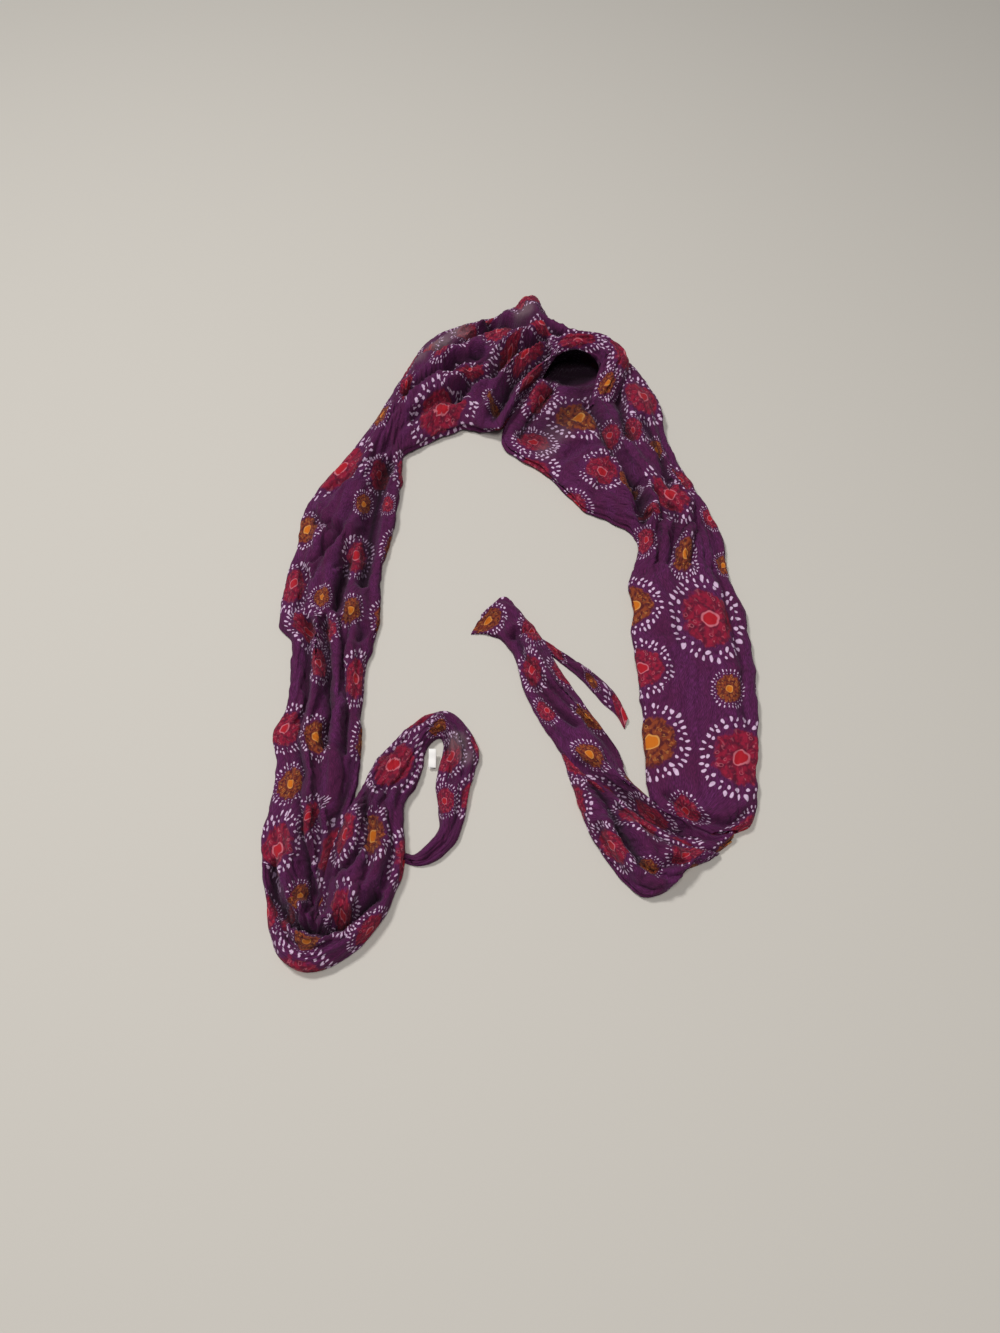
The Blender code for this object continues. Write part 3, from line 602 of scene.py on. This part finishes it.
def grid_normals(points):
    """Outward normals of a closed-round grid."""
    down = np.gradient(points, axis=0)
    wrapped = np.concatenate([points[:, -1:], points, points[:, :1]], axis=1)
    round_it = (wrapped[:, 2:] - wrapped[:, :-2]) / 2
    normal = np.cross(round_it, down)
    normal /= np.maximum(np.linalg.norm(normal, axis=2, keepdims=True), 1e-9)
    outward = normal[:, :, 2][points[:, :, 2] > points[:, :, 2].max(axis=1, keepdims=True) * 0.9]
    normal = normal if outward.mean() > 0 else -normal
    normal[points[:, :, 2] < 0.01] = (0, 0, -1)
    return normal


def print_map(points, run, seed):
    """For each corner of each cell, its place in the nearest rosette, and the rosette's kind.

    The charted rosettes go on first, and more fill the ground that they leave.
    """
    along, around = lengths_along(points, 0), lengths_along(points, 1)
    rows, columns = along.shape[0] - 1, along.shape[1] - 1
    best = np.full((rows, columns), ROSETTE_REACH)
    place = np.full((rows, columns, 4, 2), 9.0)
    kind = np.zeros((rows, columns))
    empty = np.full((rows, columns), 60.0)

    def stamp(i, j, radius, squeeze, what):
        u = (along - along[i:i + 1]) / radius
        v = (around - around[:, j:j + 1]) / (radius * squeeze)
        corners = np.stack([np.stack([w[:-1, :-1], w[1:, :-1], w[1:, 1:], w[:-1, 1:]], axis=2)
                            for w in (u, v)], axis=3)
        middle = np.linalg.norm(corners.mean(axis=2), axis=2)
        wins = middle < best
        best[wins] = middle[wins]
        place[wins] = corners[wins]
        kind[wins] = what
        np.minimum(empty, (middle - 1) * radius, out=empty)

    top = points[:, :, 2] > 0.35 * points[:, :, 2].max(axis=1, keepdims=True)
    for name, *_ in run:
        for x, y, radius, squeeze, what in ROSETTES[name]:
            off = np.linalg.norm(points[:, :, :2] - (x, y), axis=2) + np.where(top, 0, 1e3)
            stamp(*np.unravel_index(np.argmin(off), off.shape), radius, squeeze ** 0.6, what)
    crowding = 1 + 0.35 * noise(along[:-1, :-1] / 31, around[:-1, :-1] / 23, seed)
    for count in range(400):
        i, j = np.unravel_index(np.argmax(empty * crowding), empty.shape)
        if empty[i, j] < SPARE_GROUND:
            break
        what, largest = FILLERS[count % len(FILLERS)]
        radius = min(empty[i, j] * 0.96, largest)
        if top[i, j] and what == SMALL_ORANGE:      # every orange one in view is charted
            what = SMALL_RED
        stamp(i, j, radius, 0.9, what)
    return along, around, place, kind


def make_shell(name, points, normals, painted_shade, along, around, place, kind):
    """One stretch: its outer grid, an inner one a cloth's thickness in, and rims at its ends."""
    rows, columns = points.shape[:2]
    inner = points - normals * THICKNESS
    verts = np.concatenate([points.reshape(-1, 3), inner.reshape(-1, 3)])
    verts = (verts - (*PLAN_CENTRE, 0)) * MM
    index = np.arange(rows * columns).reshape(rows, columns)
    after = np.roll(index, -1, axis=1)
    quads = np.stack([index[:-1], index[1:], after[1:], after[:-1]], axis=2).reshape(-1, 4)
    shift = rows * columns
    first = np.stack([index[0], after[0], after[0] + shift, index[0] + shift], axis=1)
    last = np.stack([index[-1], index[-1] + shift, after[-1] + shift, after[-1]], axis=1)
    faces = np.concatenate([quads, quads[:, ::-1] + shift, first, last])
    a, b, c = (verts[quads[:, k]] for k in (0, 1, 2))
    facing = (np.cross(b - a, c - a) * normals.reshape(-1, 3)[quads[:, 0]]).sum()
    if facing < 0:
        faces = faces[:, ::-1]
    mesh = bpy.data.meshes.new(name)
    mesh.from_pydata(verts.tolist(), [], faces.tolist())
    mesh.shade_smooth()

    # The print and the cloth's own lengths, written for each corner of each face.
    closing = place[:, -1:] * 0 + 9
    spots = np.concatenate([place, closing], axis=1).reshape(-1, 4, 2)
    kinds = np.concatenate([kind, kind[:, -1:] * 0], axis=1).reshape(-1)
    cloth = np.stack([np.stack([w[:-1], w[1:], np.roll(w, -1, 1)[1:], np.roll(w, -1, 1)[:-1]],
                               axis=2) for w in (along, around)], axis=3).reshape(-1, 4, 2)
    outer = np.concatenate([spots, np.repeat(kinds[:, None, None], 4, axis=1)], axis=2)
    blank = np.tile([9.0, 9.0, 0.0], (len(first) * 2, 4, 1))
    rosette = np.concatenate([outer, outer[:, ::-1], blank])
    lengths = np.concatenate([cloth, cloth[:, ::-1], np.zeros((len(first) * 2, 4, 2))])
    if facing < 0:
        rosette, lengths = rosette[:, ::-1], lengths[:, ::-1]
    layer = mesh.attributes.new("rosette", "FLOAT_VECTOR", "CORNER")
    layer.data.foreach_set("vector", rosette.astype(np.float32).ravel())
    layer = mesh.uv_layers.new(name="cloth", do_init=False)
    layer.uv.foreach_set("vector", (lengths / 100).astype(np.float32).ravel())
    all_normals = np.concatenate([normals.reshape(-1, 3), -normals.reshape(-1, 3)])
    mesh.normals_split_custom_set_from_vertices(all_normals.tolist())
    thin = np.zeros(points.shape[:2])
    for x, y, reach, strength in THIN.get(name, []):
        off = np.linalg.norm(points[:, :, :2] - (x, y), axis=2)
        thin = np.maximum(thin, strength * np.exp(-(off / reach) ** 4) * (points[:, :, 2] > 3))
    # The thin patches where the floor shows through, and the painted shade, kept for each point.
    for title, values in (("thin", thin), ("painted_shade", painted_shade)):
        layer = mesh.attributes.new(title, "FLOAT", "POINT")
        layer.data.foreach_set("value", np.tile(values.ravel(), 2).astype(np.float32))
    piece = bpy.data.objects.new(name + "_cloth", mesh)
    bpy.context.scene.collection.objects.link(piece)
    return piece


# ---------------------------------------------------------------- materials
class Nodes:
    """Short ways to add and join a material's nodes."""

    def __init__(self, name):
        self.material = bpy.data.materials.new(name)
        self.material.use_nodes = True
        self.tree = self.material.node_tree
        self.shader = self.tree.nodes["Principled BSDF"]

    def add(self, kind, inputs=None, **settings):
        """A node.  Each of its inputs is a value or the output of another node."""
        node = self.tree.nodes.new("ShaderNode" + kind)
        for key, value in settings.items():
            setattr(node, key, value)
        self.fill(node, inputs or {})
        return node

    def fill(self, node, inputs):
        for key, value in inputs.items():
            if isinstance(value, bpy.types.NodeSocket):
                self.tree.links.new(value, node.inputs[key])
            else:
                node.inputs[key].default_value = value

    def math(self, operation, *values):
        return self.add("Math", dict(enumerate(values)), operation=operation).outputs[0]

    def plus(self, first, second):
        return self.math("ADD", first, second)

    def minus(self, first, second):
        return self.math("SUBTRACT", first, second)

    def times(self, first, second):
        return self.math("MULTIPLY", first, second)

    def step(self, value, low, high):
        """0 below low, 1 above high, and smooth between."""
        inputs = dict(enumerate((value, low, high, 0.0, 1.0)))
        return self.add("MapRange", inputs, interpolation_type="SMOOTHSTEP").outputs[0]

    def mix(self, share, first, second, blend="MIX"):
        inputs = {0: share, 6: first, 7: second}
        return self.add("Mix", inputs, data_type="RGBA", blend_type=blend).outputs[2]

    def choose(self, share, first, second):
        return self.add("Mix", {0: share, 2: first, 3: second}, data_type="FLOAT").outputs[0]

    def noise(self, vector, scale, detail=2.0, **settings):
        inputs = {"Vector": vector, "Scale": scale, "Detail": detail}
        return self.add("TexNoise", inputs, **settings).outputs["Fac"]

    def stretch(self, vector, scale):
        return self.add("Mapping", {"Vector": vector, "Scale": scale}).outputs["Vector"]


PLUM_DARK = (0.055, 0.007, 0.040, 1)
PLUM = (0.118, 0.012, 0.072, 1)
PLUM_VIOLET = (0.150, 0.022, 0.135, 1)
CRIMSON_DARK = (0.110, 0.006, 0.026, 1)
CRIMSON = (0.270, 0.009, 0.036, 1)
RED_HEART = (0.400, 0.010, 0.022, 1)
PINK = (0.620, 0.170, 0.220, 1)
RUST_DARK = (0.085, 0.011, 0.014, 1)
RUST = (0.240, 0.048, 0.016, 1)
ORANGE_HEART = (0.560, 0.150, 0.010, 1)
YELLOW = (0.720, 0.330, 0.080, 1)
LILAC = (0.720, 0.530, 0.740, 1)
FLOOR_THROUGH = (0.190, 0.130, 0.150, 1)
PAINTED_SHADE_TINT = (0.070, 0.050, 0.080, 1)

# Rings of dots: count, the ring's radius in rosette radii, a dot's half length and half width,
# and a seed.  The outer ring comes first.
BIG_RINGS = [(34, 0.93, 0.070, 0.036, 3.0), (22, 0.775, 0.048, 0.042, 41.0)]
SMALL_RINGS = [(28, 0.92, 0.072, 0.034, 83.0), (26, 0.76, 0.034, 0.028, 117.0)]


def dot_ring(n, radius, turn, count, ring, half_length, half_width, seed):
    """A ring of dots: how much of the dot colour shows."""
    scaled = n.times(turn, count)
    index = n.math("FLOOR", scaled)
    random = n.add("TexWhiteNoise", {"W": n.plus(index, seed)}, noise_dimensions="1D")
    jitter = n.minus(random.outputs["Value"], 0.5)
    place = n.minus(n.minus(scaled, index), 0.5)
    place = n.plus(place, n.times(jitter, 0.22))
    aside = n.math("DIVIDE", n.times(place, 2 * math.pi * ring), count)
    out = n.minus(radius, n.plus(ring, n.times(jitter, 0.05)))
    size = n.plus(1.0, n.times(jitter, 0.5))
    far = n.math("SQRT", n.plus(n.math("POWER", n.math("DIVIDE", aside, half_width), 2.0),
                                n.math("POWER", n.math("DIVIDE", out, half_length), 2.0)))
    return n.minus(1.0, n.step(far, n.times(size, 0.8), n.times(size, 1.15)))


def gauze_material():
    n = Nodes("printed_gauze")
    cloth = n.add("UVMap", uv_map="cloth").outputs["UV"]
    spot = n.add("Attribute", attribute_name="rosette").outputs["Vector"]
    u, v, kind = n.add("SeparateXYZ", {0: spot}).outputs

    # A hand-printed outline: the rosette's own plane is pulled about a little.
    wobble = n.add("TexNoise", {"Vector": cloth, "Scale": 9.0, "Detail": 1.0})
    shift = n.add("SeparateColor", {0: wobble.outputs["Color"]})
    u = n.plus(u, n.times(n.minus(shift.outputs[0], 0.5), 0.16))
    v = n.plus(v, n.times(n.minus(shift.outputs[1], 0.5), 0.16))
    radius = n.math("SQRT", n.plus(n.math("POWER", u, 2.0), n.math("POWER", v, 2.0)))
    turn = n.plus(n.math("DIVIDE", n.math("ARCTAN2", v, u), 2 * math.pi), 0.5)

    is_small = n.math("LESS_THAN", n.math("MODULO", n.plus(kind, 0.01), 2.0), 0.5)
    is_orange = n.math("GREATER_THAN", kind, 2.5)
    printed = n.math("GREATER_THAN", kind, 0.5)

    # The ground, with its thread and its uneven dye.
    threads = n.noise(n.stretch(cloth, (26, 170, 1)), 1.0, 2.0)
    blotch = n.noise(n.stretch(cloth, (2.2, 5.0, 1)), 1.0, 3.0)
    ground = n.mix(n.step(blotch, 0.3, 0.7), PLUM, PLUM_VIOLET)
    ground = n.mix(n.step(threads, 0.35, 0.75), PLUM_DARK, ground)

    # The disc, mottled, with small pale rings, strokes that spread from its heart, and a rim
    # that bleeds into the ground.
    flat = n.add("CombineXYZ", {0: u, 1: v, 2: kind}).outputs[0]
    spots = n.add("TexVoronoi", {"Vector": flat, "Scale": 6.5}, feature="F1")
    mottle = n.step(n.noise(flat, 7.0, 4.0), 0.40, 0.60)
    distance = spots.outputs["Distance"]
    little_ring = n.minus(n.step(distance, 0.20, 0.26), n.step(distance, 0.30, 0.36))
    cell = n.add("SeparateColor", {0: spots.outputs["Color"]})
    some = n.math("GREATER_THAN", cell.outputs[0], 0.5)
    seeds = n.times(n.times(little_ring, some), n.step(radius, 0.30, 0.38))
    polar = n.add("CombineXYZ", {0: n.times(turn, 38.0), 1: n.times(radius, 5.0), 2: kind})
    strokes = n.step(n.noise(polar.outputs[0], 1.0, 1.0), 0.60, 0.68)
    strokes = n.times(strokes, n.step(radius, 0.22, 0.30))
    marks = n.times(n.math("MAXIMUM", seeds, n.times(strokes, 0.55)), 0.45)
    red_disc = n.mix(mottle, CRIMSON_DARK, CRIMSON)
    rust_disc = n.mix(mottle, RUST_DARK, RUST)
    disc = n.mix(is_orange, red_disc, rust_disc)
    pale = n.mix(is_orange, PINK, YELLOW)
    disc = n.mix(marks, disc, pale)
    heart = n.mix(is_orange, RED_HEART, ORANGE_HEART)
    core = n.plus(radius, n.times(n.minus(n.noise(flat, 3.0, 1.0), 0.5), 0.16))
    disc = n.mix(n.minus(1.0, n.step(core, 0.15, 0.175)), disc, heart)
    halo = n.minus(n.step(core, 0.150, 0.172), n.step(core, 0.185, 0.215))
    disc = n.mix(n.times(halo, 0.85), disc, pale)
    edge = n.choose(is_small, 0.68, 0.72)
    ragged = n.plus(edge, n.times(n.minus(n.noise(flat, 5.0, 3.0), 0.5), 0.34))
    in_disc = n.minus(1.0, n.step(radius, n.minus(ragged, 0.09), ragged))
    colour = n.mix(n.times(in_disc, printed), ground, disc)

    # The rings of dots round it.
    big_outer, big_inner = [dot_ring(n, radius, turn, *ring) for ring in BIG_RINGS]
    small_outer, small_inner = [dot_ring(n, radius, turn, *ring) for ring in SMALL_RINGS]
    big = n.math("MAXIMUM", big_outer, big_inner)
    small = n.math("MAXIMUM", small_outer, n.times(small_inner, 0.7))
    dots = n.times(n.choose(is_small, big, small), printed)
    fleck = n.step(n.noise(cloth, 60.0, 2.0), 0.25, 0.6)
    dots = n.times(dots, n.choose(fleck, 0.72, 0.97))
    thin = n.add("Attribute", attribute_name="thin").outputs["Fac"]
    veil = n.times(thin, n.choose(n.step(blotch, 0.35, 0.60), 0.65, 1.0))
    colour = n.mix(veil, colour, FLOOR_THROUGH)
    colour = n.mix(dots, colour, LILAC)
    # Shade painted deep in the folds, in the pleats' valleys and in the hollow: the colour is
    # darkened there.
    shade_share = n.add("Attribute", attribute_name="painted_shade").outputs["Fac"]
    shade_share = n.times(n.math("POWER", shade_share, 1.3), 0.95)
    colour = n.mix(shade_share, colour, PAINTED_SHADE_TINT, "MULTIPLY")

    # Gauze: crinkles along the cloth, and the open weave.
    crinkle = n.noise(n.stretch(cloth, (8, 40, 1)), 1.0, 3.0, noise_type="RIDGED_MULTIFRACTAL")
    ripple = n.noise(n.stretch(cloth, (4, 13, 1)), 1.0, 3.0, noise_type="RIDGED_MULTIFRACTAL")
    weave, cross = [n.add("TexWave", {"Vector": cloth, "Scale": scale, "Distortion": 1.2},
                          wave_type="BANDS", bands_direction=way).outputs["Fac"]
                    for way, scale in (("X", 28.0), ("Y", 32.0))]
    woven = n.times(weave, cross)
    height = n.plus(n.times(crinkle, 0.30), n.times(ripple, 0.35))
    height = n.plus(height, n.times(woven, 0.12))
    bump = n.add("Bump", {"Strength": 0.6, "Distance": 0.0020, "Height": height})
    n.fill(n.shader, {
        "Base Color": colour, "Roughness": n.choose(woven, 0.92, 0.74),
        "Normal": bump.outputs["Normal"], "Specular IOR Level": 0.22, "Sheen Weight": 0.08,
        "Sheen Roughness": 0.45, "Sheen Tint": (0.80, 0.62, 0.85, 1)})
    return n.material


def label_material():
    n = Nodes("label_tape")
    place = n.add("TexCoord").outputs["Object"]
    threads = n.noise(n.stretch(place, (900, 5000, 900)), 1.0, 2.0)
    white = n.mix(threads, (0.90, 0.90, 0.89, 1), (0.97, 0.97, 0.96, 1))
    bump = n.add("Bump", {"Strength": 0.3, "Distance": 0.0002, "Height": threads})
    n.fill(n.shader, {"Base Color": white, "Normal": bump.outputs["Normal"], "Roughness": 0.75})
    return n.material


# ---------------------------------------------------------------- the scarf
def build_scarf(material):
    for seed, run in enumerate(RUNS):
        folded, points, painted_shade, cuts = run_surface(run, 10.0 * seed + 1)
        normals = grid_normals(points)
        along, around, place, kind = print_map(folded, run, 5.0 * seed + 2)
        for (name, *_), start, end in zip(run, cuts[:-1], cuts[1:]):
            part = slice(start, end + 1)
            cells = slice(start, end)
            piece = make_shell(name, points[part], normals[part], painted_shade[part], along[part],
                               around[part], place[cells], kind[cells])
            piece.data.materials.append(material)
            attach(piece, "root")
            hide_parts(name)


def build_label(material):
    """The label, a soft tape folded lengthwise, that hangs from the loop's edge to the floor."""
    low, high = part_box("care_label")
    rows, columns = 24, 23
    t = np.linspace(0, 1, rows)[:, None]
    across = np.linspace(-1, 1, columns)[None, :]
    width = high[0] - low[0]
    x = low[0] + width * (1 - np.minimum(1, np.abs(across) * 1.04) ** 1.02)
    gape = 0.0011 * np.clip(1 - (1 - np.abs(across)) * 1.1, 0, 1) * np.sign(across)
    lift = 0.0034 + 0.0052 * (1 - t) + 0.0003 * np.sin(9 * t)
    bow = 0.0004 * np.sign(across) * np.clip(np.abs(across) * 8, 0, 1)
    y = high[1] + 0.82 * (low[1] - high[1]) * t
    z = lift + gape * (0.4 + 0.6 * t) + bow
    points = np.stack(np.broadcast_arrays(x, y, z), axis=2)
    down, side = np.gradient(points, axis=0), np.gradient(points, axis=1)
    normals = np.cross(side, down)
    normals /= np.linalg.norm(normals, axis=2, keepdims=True)
    verts = np.concatenate([points.reshape(-1, 3), (points - 0.0003 * normals).reshape(-1, 3)])
    index = np.arange(rows * columns).reshape(rows, columns)
    quads = np.stack([index[:-1, :-1], index[1:, :-1], index[1:, 1:], index[:-1, 1:]], axis=2)
    quads = quads.reshape(-1, 4)
    edge = np.concatenate([index[0, :-1], index[:-1, -1], index[-1, :0:-1], index[:0:-1, 0]])
    after, shift = np.roll(edge, -1), rows * columns
    rim = np.stack([edge, after, after + shift, edge + shift], axis=1)
    faces = np.concatenate([quads, quads[:, ::-1] + shift, rim])
    mesh = bpy.data.meshes.new("label_tape")
    mesh.from_pydata(verts.tolist(), [], faces.tolist())
    mesh.shade_smooth()
    mesh.set_sharp_from_angle(angle=math.radians(50))
    label = bpy.data.objects.new("label_tape", mesh)
    bpy.context.scene.collection.objects.link(label)
    label.data.materials.append(material)
    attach(label, "root")
    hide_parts("care_label")


# ---------------------------------------------------------------- stage, light and camera
def build_stage():
    bpy.ops.mesh.primitive_plane_add(size=6.0)
    floor = bpy.context.object
    floor.name = "floor"
    n = Nodes("floor_paper")
    n.fill(n.shader, {"Base Color": (0.58, 0.56, 0.52, 1), "Roughness": 0.9,
                      "Specular IOR Level": 0.2})
    floor.data.materials.append(n.material)


# Lamps that point at the scarf: name, place, size, power and colour.
LAMPS = [
    ("window", (-0.9, 0.45, 2.1), 0.45, 31, (1.0, 0.98, 0.95)),
    ("room", (0.0, -0.7, 2.2), 0.8, 23, (1.0, 0.96, 0.92)),
]


def build_lights():
    for name, place, size, power, colour in LAMPS:
        light = bpy.data.lights.new(name, "AREA")
        light.shape = "DISK"
        light.size, light.energy, light.color = size, power, colour
        lamp = bpy.data.objects.new(name, light)
        lamp.location = place
        flat = math.hypot(place[0], place[1])
        lamp.rotation_euler = (math.atan2(flat, place[2]), 0, math.atan2(place[0], -place[1]))
        bpy.context.scene.collection.objects.link(lamp)
    world = bpy.data.worlds.new("room_air")
    world.use_nodes = True
    world.node_tree.nodes["Background"].inputs["Color"].default_value = (0.95, 0.96, 1.0, 1)
    world.node_tree.nodes["Background"].inputs["Strength"].default_value = 0.12
    bpy.context.scene.world = world
    bpy.context.scene.view_settings.view_transform = "Standard"


def build_camera():
    """A phone's view from standing height, 60 degrees down."""
    camera = bpy.data.cameras.new("camera")
    camera.sensor_width = 36
    camera.lens = 27.03
    holder = bpy.data.objects.new("camera", camera)
    holder.location = (-0.0106, -0.4929, 0.70)
    holder.rotation_euler = (math.radians(30), 0, 0)
    bpy.context.scene.collection.objects.link(holder)
    bpy.context.scene.camera = holder


build_camera()
build_stage()
build_lights()
build_scarf(gauze_material())
build_label(label_material())
